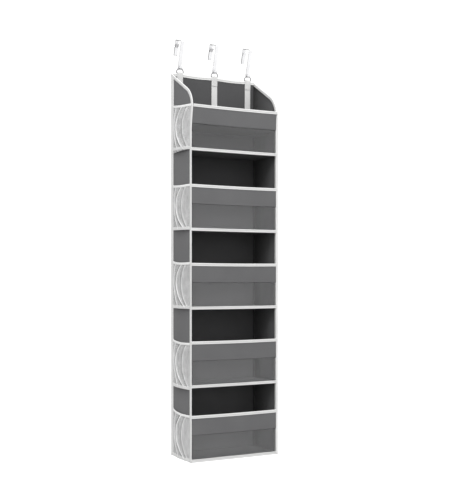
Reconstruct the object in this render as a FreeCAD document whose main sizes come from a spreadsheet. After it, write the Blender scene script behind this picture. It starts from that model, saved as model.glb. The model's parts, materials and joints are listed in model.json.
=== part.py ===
"""Over-the-door shoe organizer: five windowed pockets, ten mesh side pockets, three hooks.

Millimetres. +Z is up, the front faces -Y, and the door is behind the plane Y = 0.
The origin is the middle of the back panel's rear face, where it rests on the door.
"""
import FreeCAD, Part
import math
import os
import Sketcher

DRIVING_SIZES = {
    # sewn body
    "width": 330.0,              # over the two side bindings
    "depth": 160.0,              # door face to the front of the bindings
    "pocket_height": 144.0,      # rim to floor of every pocket
    "gap_one": 120.0,            # reach-in gaps between one floor and the next rim
    "gap_two": 115.0,
    "gap_three": 114.0,
    "gap_four": 100.0,
    "band_height": 60.0,         # fabric part of a pocket's front
    "top_rise": 135.0,           # back panel above the first rim
    "gusset_slope": 31.6,        # fall of the side panels' top edge, degrees
    "gusset_radius": 100.0,      # round shoulder between that edge and the front
    # cloth, boards and film
    "back_thick": 3.0,
    "side_thick": 2.0,
    "floor_thick": 3.0,
    "board_thick": 1.4,
    "board_margin": 6.0,
    "band_thick": 1.5,
    "film_thick": 0.5,
    "film_overlap": 8.0,
    "tape_width": 10.0,
    "tape_thick": 1.0,
    "corner_tape": 20.0,
    # mesh side pockets
    "mesh_thick": 1.2,
    "mesh_margin": 4.0,          # cloth left showing behind the front binding
    "mesh_bulge": 9.0,
    "side_raise_1": 3.0,         # how far each row's side pockets sit above its front pocket
    "side_raise_2": 5.0,
    "side_raise_3": 3.5,
    "side_raise_4": -2.0,
    "side_raise_5": 3.0,
    "elastic_height": 8.0,
    "elastic_extra": 0.5,
    # lift-up shelf in the top compartment
    "shelf_thick": 4.0,
    "shelf_gap": 1.0,
    "hinge_line": 7.5,           # hinge axis in front of the door face
    "shelf_heel": 2.0,           # shelf behind its hinge axis
    "hinge_tape_thick": 0.8,
    "hinge_tape_height": 15.0,
    "tab_length": 24.0,
    "tab_reach": 8.0,
    "tab_thick": 1.5,
    "running_gap": 0.3,
    "tab_inset": 24.0,           # rear tabs in front of the shelf's rear edge
    # straps, D-rings and hooks
    "strap_spacing": 133.0,
    "strap_width": 22.0,
    "strap_thick": 1.2,
    "strap_double": 30.0,        # doubled end of a strap, below the top edge
    "strap_foot": 6.0,           # strap's lower end above the middle of the shelf
    "wire_radius": 1.3,
    "loop_clearance": 0.2,
    "ring_height": 15.9,         # wire centre of the bar to wire centre of the arch
    "ring_corner": 2.0,
    "ring_lean": 8.0,
    "hook_lean": 17.0,
    "hook_width": 12.0,
    "hook_thick": 1.6,
    "hook_height": 94.0,         # ring contact to the top of the hook
    "door_gap": 47.0,            # inside the hook, from leg to leg
    "hook_bend": 2.8,
    "curl_radius": 5.8,
    "curl_clearance": 0.6,       # between the curl and the ring's wire
    "curl_tip": 9.0,
    "rear_leg": 54.0,
    "fold_spacing": 2.4,
    "fold_height": 26.0,
    "lip_reach": 8.0,            # leaves a clear way in for a 35 mm door
    "lip_rise": 12.0,
}

ROWS = range(1, 6)
MIRROR_NORMAL = FreeCAD.Vector(1, 0, 0)


class Size:
    """A length that carries its value and the spreadsheet expression it comes from."""

    def __init__(self, value, text):
        self.value = value
        self.text = text

    def __add__(self, other):
        other = as_size(other)
        return Size(self.value + other.value, f"({self.text} + {other.text})")

    def __sub__(self, other):
        other = as_size(other)
        return Size(self.value - other.value, f"({self.text} - {other.text})")

    def __mul__(self, factor):
        factor = as_size(factor)
        return Size(self.value * factor.value, f"({self.text} * {factor.text})")

    def __truediv__(self, divisor):
        divisor = as_size(divisor)
        return Size(self.value / divisor.value, f"({self.text} / {divisor.text})")

    def __neg__(self):
        return Size(-self.value, f"(0 - {self.text})")


def as_size(number):
    """A plain number as a Size; a Size is returned as it is."""
    if isinstance(number, Size):
        return number
    return Size(float(number), f"{float(number):g}")


def sine(angle):
    """Sine of an angle in degrees."""
    return Size(math.sin(math.radians(angle.value)), f"sin({angle.text})")


def cosine(angle):
    """Cosine of an angle in degrees."""
    return Size(math.cos(math.radians(angle.value)), f"cos({angle.text})")


def tangent(angle):
    """Tangent of an angle in degrees."""
    return Size(math.tan(math.radians(angle.value)), f"tan({angle.text})")


doc = FreeCAD.newDocument("shoe_organizer")


def make_sheet():
    """The spreadsheet of driving sizes, and the same sizes as Size objects by name."""
    sheet = doc.addObject("Spreadsheet::Sheet", "dims")
    sizes = {}
    for line, (alias, value) in enumerate(DRIVING_SIZES.items(), start=1):
        sheet.set(f"A{line}", alias)
        sheet.set(f"B{line}", f"{value:g}")
        sheet.setAlias(f"B{line}", alias)
        sizes[alias] = Size(value, f"dims.{alias}")
    doc.recompute()
    return sizes


size = make_sheet()
NODES = []


def node(feature, name):
    """Name a finished sub-part and list it for the checks and the export."""
    feature.Label = name
    NODES.append(feature)
    return feature


def bind(feature, prop, value):
    """Bind one property of a feature to a Size."""
    feature.setExpression(prop, as_size(value).text)


def bind_position(feature, x, y, z):
    """Bind the three coordinates of a feature's placement."""
    bind(feature, "Placement.Base.x", x)
    bind(feature, "Placement.Base.y", y)
    bind(feature, "Placement.Base.z", z)


def box(name, x_span, y_span, z_span):
    """A box between two coordinates along each axis."""
    feature = doc.addObject("Part::Box", name)
    bind(feature, "Length", as_size(x_span[1]) - x_span[0])
    bind(feature, "Width", as_size(y_span[1]) - y_span[0])
    bind(feature, "Height", as_size(z_span[1]) - z_span[0])
    bind_position(feature, x_span[0], y_span[0], z_span[0])
    return feature


def cut(name, base, tool):
    """The base with the tool's volume taken away."""
    feature = doc.addObject("Part::Cut", name)
    feature.Base = base
    feature.Tool = tool
    return feature


def fuse(name, *shapes):
    """One solid from shapes that overlap."""
    feature = doc.addObject("Part::MultiFuse", name)
    feature.Shapes = list(shapes)
    feature.Refine = True
    return feature


def group(name, shapes):
    """Separate solids kept together as one sub-part."""
    feature = doc.addObject("Part::Compound", name)
    feature.Links = list(shapes)
    return feature


def mirrored(name, source):
    """The left-hand twin of a right-hand sub-part."""
    feature = doc.addObject("Part::Mirroring", name)
    feature.Source = source
    feature.Base = FreeCAD.Vector(0, 0, 0)
    feature.Normal = MIRROR_NORMAL
    return feature


def origin_plane(body, role):
    """One of a body's own origin planes."""
    for plane in body.Origin.OriginFeatures:
        if plane.Role == role:
            return plane
    raise ValueError(role)


def new_sketch(body, name, role):
    """An empty sketch on one of the body's origin planes."""
    sketch = body.newObject("Sketcher::SketchObject", name)
    sketch.AttachmentSupport = [(origin_plane(body, role), "")]
    sketch.MapMode = "FlatFace"
    return sketch


def flat(point):
    """A pair of Sizes as a vector in a sketch's plane."""
    return FreeCAD.Vector(as_size(point[0]).value, as_size(point[1]).value, 0)


def constrain(sketch, value, *arguments):
    """Add a constraint whose value is bound to a Size."""
    index = sketch.addConstraint(Sketcher.Constraint(*arguments, value.value))
    sketch.setExpression(f"Constraints[{index}]", value.text)


def add_segment(sketch, start, end, arc):
    """Add a line, or an arc (radius, side), and return it with its start and end point numbers.

    The side is +1 for an arc whose centre lies to the left of the way from start to end.
    """
    first = flat(start)
    last = flat(end)
    if arc is None:
        return sketch.addGeometry(Part.LineSegment(first, last), False), 1, 2
    radius, side = arc
    chord = last - first
    across = FreeCAD.Vector(-chord.y, chord.x, 0).normalize() * side
    rise = math.sqrt(max(radius.value ** 2 - (chord.Length / 2) ** 2, 0.0))
    centre = (first + last) / 2 + across * rise
    circle = Part.Circle(centre, FreeCAD.Vector(0, 0, 1), radius.value)
    ends = (first, last) if side > 0 else (last, first)
    arc_of_circle = Part.ArcOfCircle(circle, circle.parameter(ends[0]), circle.parameter(ends[1]))
    index = sketch.addGeometry(arc_of_circle, False)
    constrain(sketch, radius, "Radius", index)
    if side > 0:
        return index, 1, 2
    return index, 2, 1


def outline(sketch, points, arcs=None, closed=True):
    """Lines and arcs through points, joined end to end, with every point bound to its Sizes."""
    arcs = arcs or {}
    ends = points[1:] + points[:1] if closed else points[1:]
    segments = []
    for number, (start, end) in enumerate(zip(points, ends)):
        segments.append(add_segment(sketch, start, end, arcs.get(number)))
    followers = segments[1:] + segments[:1] if closed else segments[1:]
    for (first, _, first_end), (second, second_start, _) in zip(segments, followers):
        sketch.addConstraint(Sketcher.Constraint("Coincident", first, first_end, second, second_start))
    for (segment, segment_start, _), point in zip(segments, points):
        constrain(sketch, as_size(point[0]), "DistanceX", -1, 1, segment, segment_start)
        constrain(sketch, as_size(point[1]), "DistanceY", -1, 1, segment, segment_start)
    if not closed:
        segment, _, segment_end = segments[-1]
        constrain(sketch, as_size(points[-1][0]), "DistanceX", -1, 1, segment, segment_end)
        constrain(sketch, as_size(points[-1][1]), "DistanceY", -1, 1, segment, segment_end)


def outline_pad(name, role, points, length, arcs=None, both_ways=False):
    """A body: a closed outline on an origin plane, padded along its normal."""
    body = doc.addObject("PartDesign::Body", name)
    sketch = new_sketch(body, f"{name}_outline", role)
    outline(sketch, points, arcs)
    feature = body.newObject("PartDesign::Pad", f"{name}_pad")
    feature.Profile = sketch
    bind(feature, "Length", length)
    if both_ways:
        feature.SideType = "Symmetric"
    return body


# ---------------------------------------------------------------- levels and planes

fabric_height = (size["top_rise"] + size["pocket_height"] * len(ROWS) + size["gap_one"] + size["gap_two"]
                 + size["gap_three"] + size["gap_four"] + size["tape_width"] / 2)
top = fabric_height / 2
bottom = -top
half_tape = size["tape_width"] / 2
GAPS = [size["gap_one"], size["gap_two"], size["gap_three"], size["gap_four"]]


def rim(row):
    """Height of the middle of a pocket's upper tape."""
    level = top - size["top_rise"]
    for gap in GAPS[:row - 1]:
        level = level - size["pocket_height"] - gap
    return level


def floor(row):
    """Height of the middle of a pocket's floor."""
    return rim(row) - size["pocket_height"]


half_width = size["width"] / 2
side_outer = half_width - size["tape_thick"]
side_inner = side_outer - size["side_thick"]
binding_inner = side_inner - size["tape_thick"]
front = -size["depth"]
band_front = front + size["tape_thick"]
band_rear = band_front + size["band_thick"]
tape_rear = band_rear + size["tape_thick"]
binding_end = front + size["tape_width"]
back_front = -size["back_thick"]
top_binding_front = back_front - size["tape_thick"]


# ---------------------------------------------------------------- back and side panels

def make_back_panel():
    """Back panel, thinned along its top edge so the binding lies flush with the door face."""
    shoulder = top - size["tape_width"]
    tongue_top = top - size["tape_thick"]
    profile = [(0, bottom), (0, shoulder), (-size["tape_thick"], shoulder),
               (-size["tape_thick"], tongue_top), (back_front, tongue_top), (back_front, bottom)]
    return node(outline_pad("back_panel", "YZ_Plane", profile, side_inner * 2, both_ways=True), "back_panel")


def make_back_binding(panel):
    """Tape folded over the back panel's top edge."""
    blank = box("back_binding_blank", (-side_inner, side_inner), (top_binding_front, 0),
                (top - size["tape_width"], top))
    return node(cut("back_top_binding", blank, panel), "back_top_binding")


def shoulder_points(inset):
    """Upper end, lower end and radius of the side panels' round shoulder, moved inwards."""
    slope = size["gusset_slope"]
    full = size["gusset_radius"]
    radius = full - inset
    centre_y = front + full
    centre_z = top + centre_y * tangent(slope) - full / cosine(slope)
    upper = (centre_y - radius * sine(slope), centre_z + radius * cosine(slope))
    lower = (front + inset, centre_z)
    return upper, lower, radius


def edge_height(y, inset):
    """Height at a depth of the side panels' sloping top edge, moved inwards by an inset."""
    slope = size["gusset_slope"]
    return top + y * tangent(slope) - inset / cosine(slope)


def make_side_panel():
    """Right side panel: straight below the first rim, sloping and rounded above it."""
    inset = size["tape_thick"]
    rear = -size["tape_thick"]
    upper, lower, radius = shoulder_points(inset)
    points = [(rear, bottom), (rear, edge_height(rear, inset)), upper, lower, (front + inset, bottom)]
    panel = outline_pad("right_side_panel", "YZ_Plane", points, size["side_thick"], {2: (radius, 1)})
    bind(panel, "Placement.Base.x", side_inner)
    return node(panel, "right_side_panel")


def make_front_binding(panel):
    """Tape folded over the right side panel's sloping, round and straight front edge."""
    width = size["tape_width"]
    start = top_binding_front
    outer_upper, outer_lower, outer_radius = shoulder_points(as_size(0))
    inner_upper, inner_lower, inner_radius = shoulder_points(width)
    points = [(start, edge_height(start, width)), (start, edge_height(start, as_size(0))),
              outer_upper, outer_lower, (front, bottom), (binding_end, bottom),
              inner_lower, inner_upper]
    arcs = {2: (outer_radius, 1), 6: (inner_radius, -1)}
    blank = outline_pad("front_binding_blank", "YZ_Plane", points, half_width - binding_inner, arcs)
    bind(blank, "Placement.Base.x", binding_inner)
    return node(cut("right_front_binding", blank, panel), "right_front_binding")


def make_corner_binding(front_binding):
    """Tape over the right rear corner, flush with the door face."""
    wrap = -size["corner_tape"]
    none = as_size(0)
    points = [(0, bottom), (0, top), (wrap, edge_height(wrap, none)), (wrap, bottom)]
    face = outline_pad("corner_binding_face", "YZ_Plane", points, size["tape_thick"])
    bind(face, "Placement.Base.x", side_outer)
    edge = box("corner_binding_edge", (side_inner, half_width), (-size["tape_thick"], 0),
               (bottom, edge_height(-size["tape_thick"], none)))
    blank = fuse("corner_binding_blank", face, edge)
    return node(cut("right_corner_binding", blank, front_binding), "right_corner_binding")


def plate_outline(rear, front_edge, wide, narrow):
    """Plan of a floor or shelf whose front corners clear the side bindings."""
    return [(-wide, rear), (-wide, binding_end), (-narrow, binding_end), (-narrow, front_edge),
            (narrow, front_edge), (narrow, binding_end), (wide, binding_end), (wide, rear)]


def make_floor(row):
    """A pocket's floor: a cloth sleeve around a stiff board. Returns the board."""
    thick = size["floor_thick"]
    board_thick = size["board_thick"]
    margin = size["board_margin"]
    points = plate_outline(back_front, tape_rear, side_inner, binding_inner)
    sleeve = outline_pad(f"floor_sleeve_{row}", "XY_Plane", points, thick)
    bind(sleeve, "Placement.Base.z", floor(row) - thick / 2)
    board = box(f"floor_board_{row}", (-side_inner + margin, side_inner - margin),
                (tape_rear + margin, back_front - margin),
                (floor(row) - board_thick / 2, floor(row) + board_thick / 2))
    node(cut(f"floor_panel_{row}", sleeve, board), f"floor_panel_{row}")
    return board


def make_pocket_front(row):
    """Fabric band, clear window and the two cross tapes of one pocket."""
    across = (-binding_inner, binding_inner)
    band = box(f"front_band_{row}", across, (band_front, band_rear),
               (rim(row) - size["band_height"], rim(row) + half_tape - size["tape_thick"]))
    node(band, f"front_band_{row}")
    window = box(f"clear_window_{row}", across, (band_rear, band_rear + size["film_thick"]),
                 (floor(row) - half_tape + size["tape_thick"],
                  rim(row) - size["band_height"] + size["film_overlap"]))
    node(window, f"clear_window_{row}")
    rim_blank = box(f"rim_blank_{row}", across, (front, tape_rear),
                    (rim(row) - half_tape, rim(row) + half_tape))
    node(cut(f"band_binding_{row}", rim_blank, band), f"band_binding_{row}")
    floor_blank = box(f"floor_blank_{row}", across, (front, tape_rear),
                      (floor(row) - half_tape, floor(row) + half_tape))
    node(cut(f"floor_binding_{row}", floor_blank, window), f"floor_binding_{row}")


# ---------------------------------------------------------------- mesh side pockets

mesh_front = binding_end + size["mesh_margin"]
mesh_rear = -size["corner_tape"]


def bulge_radius(chord, bulge):
    """Radius of an arc from its chord and its height."""
    return (chord * chord / 4 + bulge * bulge) / (bulge * 2)


def side_arc_body(name, bulge, wall, low, high):
    """Upright curved wall on the right side panel, or a solid plate where the wall is None."""
    chord = mesh_rear - mesh_front
    outer = (bulge_radius(chord, bulge), 1)
    points = [(side_outer, mesh_front), (side_outer, mesh_rear)]
    arcs = {0: outer}
    if wall is not None:
        foot = wall * 2
        inner = bulge_radius(chord - foot * 2, bulge - wall)
        points = points + [(side_outer, mesh_rear - foot), (side_outer, mesh_front + foot)]
        arcs[2] = (inner, -1)
    body = outline_pad(name, "XY_Plane", points, high - low, arcs)
    bind(body, "Placement.Base.z", low)
    return body


def make_side_pockets():
    """Mesh walls, elastic rims and folded hems of the pockets on both sides."""
    bulge = size["mesh_bulge"]
    wall = size["mesh_thick"]
    half_elastic = size["elastic_height"] / 2
    elastics = []
    hems = []
    for row in ROWS:
        rim_level = rim(row) + size[f"side_raise_{row}"]
        foot_level = floor(row) + size[f"side_raise_{row}"]
        mesh = side_arc_body(f"right_mesh_pocket_{row}", bulge, wall,
                             foot_level + half_tape, rim_level - half_elastic)
        node(mesh, f"right_mesh_pocket_{row}")
        node(mirrored(f"left_mesh_pocket_{row}", mesh), f"left_mesh_pocket_{row}")
        elastic = side_arc_body(f"right_elastic_{row}", bulge + size["elastic_extra"],
                                wall + size["elastic_extra"],
                                rim_level - half_elastic, rim_level + half_elastic)
        hem = side_arc_body(f"right_hem_{row}", bulge, None,
                            foot_level - half_tape, foot_level + half_tape)
        elastics += [elastic, mirrored(f"left_elastic_{row}", elastic)]
        hems += [hem, mirrored(f"left_hem_{row}", hem)]
    node(group("mesh_pocket_elastics", elastics), "mesh_pocket_elastics")
    node(group("mesh_pocket_hems", hems), "mesh_pocket_hems")


# ---------------------------------------------------------------- lift-up shelf

shelf_level = rim(1) - size["band_height"]
shelf_half_width = binding_inner - size["shelf_gap"]
shelf_rear = -(size["hinge_line"] - size["shelf_heel"])
shelf_front = tape_rear + size["shelf_gap"]


def make_shelf():
    """Shelf over the first window: cloth around a board, its hinge tape and its rests."""
    thick = size["shelf_thick"]
    margin = size["board_margin"]
    half_board = size["board_thick"] / 2
    underside = shelf_level - thick / 2
    sleeve = box("shelf_sleeve", (-shelf_half_width, shelf_half_width), (shelf_front, shelf_rear),
                 (underside, underside + thick))
    board = box("shelf_board", (-shelf_half_width + margin, shelf_half_width - margin),
                (shelf_front + margin, shelf_rear - margin),
                (shelf_level - half_board, shelf_level + half_board))
    node(cut("tray_shelf", sleeve, board), "tray_shelf")
    node(board, "shelf_board")
    tape = box("shelf_hinge_tape", (-side_inner, side_inner),
               (back_front - size["hinge_tape_thick"], back_front),
               (shelf_level + thick - size["hinge_tape_height"], shelf_level + thick))
    node(tape, "shelf_hinge_tape")
    rest_top = underside - size["running_gap"]
    tabs = []
    for place, start in (("front", binding_end + size["tab_length"]),
                         ("rear", shelf_rear - size["tab_inset"] - size["tab_length"])):
        tab = box(f"right_{place}_tab", (side_inner - size["tab_reach"], side_inner),
                  (start, start + size["tab_length"]), (rest_top - size["tab_thick"], rest_top))
        tabs += [tab, mirrored(f"left_{place}_tab", tab)]
    node(group("shelf_rest_tabs", tabs), "shelf_rest_tabs")


# ---------------------------------------------------------------- straps, D-rings and hooks

loop_radius = size["wire_radius"] + size["loop_clearance"] + size["strap_thick"]
strap_front = top_binding_front - size["strap_thick"] * 2
ring_bar_y = strap_front + loop_radius
ring_bar_z = top + loop_radius + size["loop_clearance"]
arch_radius = (size["strap_width"] + size["wire_radius"] * 2) / 2 + size["running_gap"]
half_hook = size["hook_width"] / 2
SIDES = (("left", -size["strap_spacing"]), ("middle", as_size(0)), ("right", size["strap_spacing"]))


def root_of(square):
    """Square root of a Size."""
    return Size(math.sqrt(square.value), f"sqrt({square.text})")


arch_drop = arch_radius - root_of(arch_radius * arch_radius - half_hook * half_hook)
contact_height = size["ring_height"] - arch_drop


def make_strap(side, x):
    """Webbing down the front of the back panel, folded over the D-ring's bar at the top."""
    single = back_front - size["strap_thick"]
    double_end = top - size["strap_double"]
    foot = shelf_level + size["strap_foot"]
    points = [(back_front, foot), (single, foot), (single, double_end - size["tape_width"]),
              (strap_front, double_end), (strap_front, ring_bar_z),
              (top_binding_front, ring_bar_z), (top_binding_front, top - size["tape_width"]),
              (back_front, top - size["tape_width"])]
    web = outline_pad(f"web_{side}", "YZ_Plane", points, size["strap_width"], both_ways=True)
    bind(web, "Placement.Base.x", x)
    loop = across_cylinder(f"loop_{side}", x, loop_radius)
    bore = across_cylinder(f"loop_bore_{side}", x, size["wire_radius"] + size["loop_clearance"])
    node(cut(f"strap_{side}", fuse(f"web_and_loop_{side}", web, loop), bore), f"strap_{side}")


def across_cylinder(name, x, radius):
    """Cylinder along X around the D-ring's bar, as wide as the strap."""
    feature = doc.addObject("Part::Cylinder", name)
    bind(feature, "Radius", radius)
    bind(feature, "Height", size["strap_width"])
    feature.Placement.Rotation = FreeCAD.Rotation(FreeCAD.Vector(0, 1, 0), 90)
    bind_position(feature, x - size["strap_width"] / 2, ring_bar_y, ring_bar_z)
    return feature


def pipe(name, role, path_points, path_arcs, closed):
    """A body with a path sketch, ready for a profile. Returns both."""
    body = doc.addObject("PartDesign::Body", name)
    path = new_sketch(body, f"{name}_path", role)
    outline(path, path_points, path_arcs, closed)
    return body, path


def sweep(body, name, profile, path):
    """Sweep a profile sketch along a path sketch."""
    feature = body.newObject("PartDesign::AdditivePipe", name)
    feature.Profile = profile
    feature.Spine = path
    return feature


def lean(body, angle):
    """Tip a body forwards about X by a bound angle."""
    body.Placement = FreeCAD.Placement(FreeCAD.Vector(), FreeCAD.Rotation(FreeCAD.Vector(1, 0, 0), 1))
    bind(body, "Placement.Rotation.Angle", angle)


def make_ring(side, x):
    """Wire D-ring: its flat bar in the webbing loop, its arch upwards."""
    corner = size["ring_corner"]
    arch_foot = size["ring_height"] - arch_radius
    points = [(0, 0), (arch_radius - corner, 0), (arch_radius, corner), (arch_radius, arch_foot),
              (0, size["ring_height"]), (-arch_radius, arch_foot), (-arch_radius, corner),
              (corner - arch_radius, 0)]
    arcs = {1: (corner, 1), 3: (arch_radius, 1), 4: (arch_radius, 1), 6: (corner, 1)}
    body, path = pipe(f"d_ring_{side}", "XZ_Plane", points, arcs, True)
    profile = new_sketch(body, f"d_ring_{side}_wire", "YZ_Plane")
    circle = Part.Circle(FreeCAD.Vector(), FreeCAD.Vector(0, 0, 1), size["wire_radius"].value)
    wire = profile.addGeometry(circle, False)
    profile.addConstraint(Sketcher.Constraint("Coincident", wire, 3, -1, 1))
    constrain(profile, size["wire_radius"], "Radius", wire)
    sweep(body, f"d_ring_{side}_sweep", profile, path)
    lean(body, size["ring_lean"])
    bind_position(body, x, ring_bar_y, ring_bar_z)
    node(body, f"d_ring_{side}")


def hook_path():
    """Centre line of the hook's strip in its own plane, from the curl's tip to the free lip."""
    curl = size["curl_radius"]
    bend = size["hook_bend"]
    half = size["hook_thick"] / 2
    clearance = size["wire_radius"] + size["curl_clearance"]
    curl_centre = curl - half - clearance
    bar = size["hook_height"] - half
    rear = curl + size["door_gap"] + size["hook_thick"]
    fold = size["fold_spacing"] / 2
    inner = rear - size["fold_spacing"]
    rear_foot = size["hook_height"] - size["rear_leg"] + fold + half
    flare = rear_foot + size["fold_height"]
    points = [(-curl, size["curl_tip"]), (-curl, curl_centre), (0, curl_centre - curl),
              (curl, curl_centre), (curl, bar - bend), (curl + bend, bar), (rear - bend, bar),
              (rear, bar - bend), (rear, rear_foot), (rear - fold, rear_foot - fold),
              (inner, rear_foot), (inner, flare),
              (inner - size["lip_reach"], flare + size["lip_rise"])]
    arcs = {1: (curl, 1), 2: (curl, 1), 4: (bend, -1), 6: (bend, -1), 8: (fold, -1), 9: (fold, -1)}
    return points, arcs


def make_hook(side, x):
    """Over-door hook bent from flat strip, hung in the arch of the D-ring."""
    points, arcs = hook_path()
    body, path = pipe(f"door_hook_{side}", "YZ_Plane", points, arcs, False)
    profile = new_sketch(body, f"door_hook_{side}_strip", "XY_Plane")
    bind(profile, "AttachmentOffset.Base.z", size["curl_tip"])
    half = size["hook_thick"] / 2
    outer = -size["curl_radius"] - half
    inner = -size["curl_radius"] + half
    outline(profile, [(-half_hook, outer), (half_hook, outer), (half_hook, inner), (-half_hook, inner)])
    feature = sweep(body, f"door_hook_{side}_sweep", profile, path)
    feature.Transition = "Right corner"
    lean(body, size["hook_lean"])
    bind_position(body, x, ring_bar_y - contact_height * sine(size["ring_lean"]),
                  ring_bar_z + contact_height * cosine(size["ring_lean"]))
    node(body, f"door_hook_{side}")


# ---------------------------------------------------------------- build, check and export

def build():
    """Make every sub-part."""
    back_panel = make_back_panel()
    make_back_binding(back_panel)
    side_panel = make_side_panel()
    node(mirrored("left_side_panel", side_panel), "left_side_panel")
    front_binding = make_front_binding(side_panel)
    node(mirrored("left_front_binding", front_binding), "left_front_binding")
    corner_binding = make_corner_binding(front_binding)
    node(mirrored("left_corner_binding", corner_binding), "left_corner_binding")
    boards = []
    for row in ROWS:
        boards.append(make_floor(row))
        make_pocket_front(row)
    node(group("floor_boards", boards), "floor_boards")
    make_side_pockets()
    make_shelf()
    for side, x in SIDES:
        make_strap(side, x)
        make_ring(side, x)
        make_hook(side, x)


def check():
    """Stop if any feature failed or any sub-part has no valid shape."""
    for feature in doc.Objects:
        if "Invalid" in feature.State or "Error" in feature.State:
            raise RuntimeError(f"{feature.Name} failed: {feature.State}")
    for feature in NODES:
        if feature.Shape.isNull() or not feature.Shape.isValid():
            raise RuntimeError(f"{feature.Label} has no valid shape")


def export():
    """Write one STEP file per sub-part."""
    os.makedirs("parts", exist_ok=True)
    for feature in NODES:
        feature.Shape.exportStep(f"parts/{feature.Label}.step")
        print(f"{feature.Label}: {len(feature.Shape.Solids)} solids, {feature.Shape.Volume:.1f} mm3")


build()
doc.recompute()
check()
export()
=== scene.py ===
"""Looks of the over-door shoe organizer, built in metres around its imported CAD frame.

Each cloth, tape, mesh and film node is replaced by a detailed piece made from its real sheet.
The D-rings, the hooks and the hidden boards are the CAD nodes with better materials.
"""
import json
from bisect import bisect_left
from math import copysign, cos, exp, pi, radians, sin, sqrt, tan

import bpy
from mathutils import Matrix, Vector, noise


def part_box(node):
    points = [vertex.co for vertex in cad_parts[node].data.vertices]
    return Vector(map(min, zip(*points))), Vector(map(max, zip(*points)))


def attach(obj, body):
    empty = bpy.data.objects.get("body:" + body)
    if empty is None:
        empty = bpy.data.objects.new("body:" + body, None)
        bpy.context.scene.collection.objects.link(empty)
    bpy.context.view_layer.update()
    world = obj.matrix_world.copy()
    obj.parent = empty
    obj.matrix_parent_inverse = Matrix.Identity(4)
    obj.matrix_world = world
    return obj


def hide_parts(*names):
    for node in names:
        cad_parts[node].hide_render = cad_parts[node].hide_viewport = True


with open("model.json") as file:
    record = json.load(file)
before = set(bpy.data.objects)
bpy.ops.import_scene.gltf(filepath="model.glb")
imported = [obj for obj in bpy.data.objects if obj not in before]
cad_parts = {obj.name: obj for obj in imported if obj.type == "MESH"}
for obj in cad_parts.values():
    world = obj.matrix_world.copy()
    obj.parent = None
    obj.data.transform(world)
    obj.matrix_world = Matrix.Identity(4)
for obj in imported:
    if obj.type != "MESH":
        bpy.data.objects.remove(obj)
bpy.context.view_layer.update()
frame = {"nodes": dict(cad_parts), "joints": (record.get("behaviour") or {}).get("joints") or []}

MM = 0.001
ROWS = range(1, 6)
SIDES = {"left": -1, "right": 1}
STRAPS = ("left", "middle", "right")

# ---- levels read from the frame

panel_low, panel_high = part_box("back_panel")
side_low, side_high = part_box("right_side_panel")
edge_low, edge_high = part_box("right_front_binding")
top_tape_low, top_tape_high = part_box("back_top_binding")
corner_low, corner_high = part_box("right_corner_binding")

front = edge_low.y
bottom = panel_low.z
top = top_tape_high.z
back_front = panel_low.y
half_inner = panel_high.x
side_middle = (side_low.x + side_high.x) / 2
side_face = side_high.x
tape_inner = edge_low.x
rim = {row: sum(box.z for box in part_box(f"band_binding_{row}")) / 2 for row in ROWS}
floor = {row: sum(box.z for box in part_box(f"floor_binding_{row}")) / 2 for row in ROWS}

TAPE_THICK = 1.0 * MM
TAPE_WIDE = 10 * MM
# the tape's own cloth is a little thinner than the room that the frame gives it
FOLDED_THICK = 0.85 * TAPE_THICK
# from a folded tape's free edge to its row of stitches, and how deep the row is sewn down
EDGE_SEAM = 1.8 * MM
MIDDLE_SEAM = 4.3 * MM
SEAM_DEPTH = 0.45 * MM
SEAM_SPREAD = 1.1 * MM
# how far the free upper front corners hang to the right
LEFT_LEAN = 12 * MM
RIGHT_LEAN = 5 * MM
LEAN_FADE = 90 * MM
# how much fuller than flat the left (-1) and right (1) edge tapes stand, inside and outside
FULLNESS = {-1: (0.0, 0.0), 1: (2.2 * MM, 2.6 * MM)}
# the sides' outline: slope of the top edge, radius at the front and at the rear corner
SLOPE = radians(31.6)
SHOULDER = 100 * MM
CORNER_ROUND = 7 * MM
BACK_THICK = 2.3 * MM
SIDE_THICK = 1.5 * MM
BAND_THICK = 0.62 * MM
FLOOR_THICK = 0.6 * MM
SHELF_THICK = 0.7 * MM
# how far folded tapes pucker between stitches, and sleeves ripple over their boards
PUCKER = 0.12 * MM
SLEEVE_RIPPLE = 0.2 * MM
# how far a row of stitches lies off its cloth, and from a side tape's inner edge
STITCH_OFF = 0.02 * MM
STITCH_INSET = 1.6 * MM
# from a band's rim down to the two rows of stitches in its hem
HEM_ROWS = (57.5 * MM, 53 * MM)
# steps across and along a folded tape
TAPE_STEPS = 26
CROSS_STEPS = 110
EDGE_STEPS = 420
shoulder_y = front + SHOULDER
shoulder_z = top + shoulder_y * tan(SLOPE) - SHOULDER / cos(SLOPE)

# ---- making meshes


def ripple(x, y, wave, seed):
    """Smooth unevenness from -1 to 1 with bumps about `wave` metres apart."""
    return noise.noise(Vector((x / wave, y / wave, seed * 7.3)))


def fade(value, start, end):
    """0 at start and 1 at end, with a smooth way between."""
    share = min(max((value - start) / (end - start), 0.0), 1.0)
    return share * share * (3 - 2 * share)


def edge_fade(u, v):
    """1 inside a sheet and 0 at its four sewn edges."""
    return (16 * u * (1 - u) * v * (1 - v)) ** 0.5


def leaned(point):
    """A point moved with the free upper front corners, which hang a little to the right."""
    across = min(max((point.x / half_inner + 1) / 2, 0.0), 1.0)
    forward = min(max(point.y / front, 0.0), 1.0)
    upward = fade(point.z, rim[1] - LEAN_FADE, rim[1] + LEAN_FADE)
    amount = LEFT_LEAN + (RIGHT_LEAN - LEFT_LEAN) * across
    return point + Vector((amount * forward * upward, 0, 0))


def smooth_mesh(name, points, faces):
    """A mesh with smooth faces."""
    mesh = bpy.data.meshes.new(name)
    mesh.from_pydata(points, [], faces)
    for polygon in mesh.polygons:
        polygon.use_smooth = True
    return mesh


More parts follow.
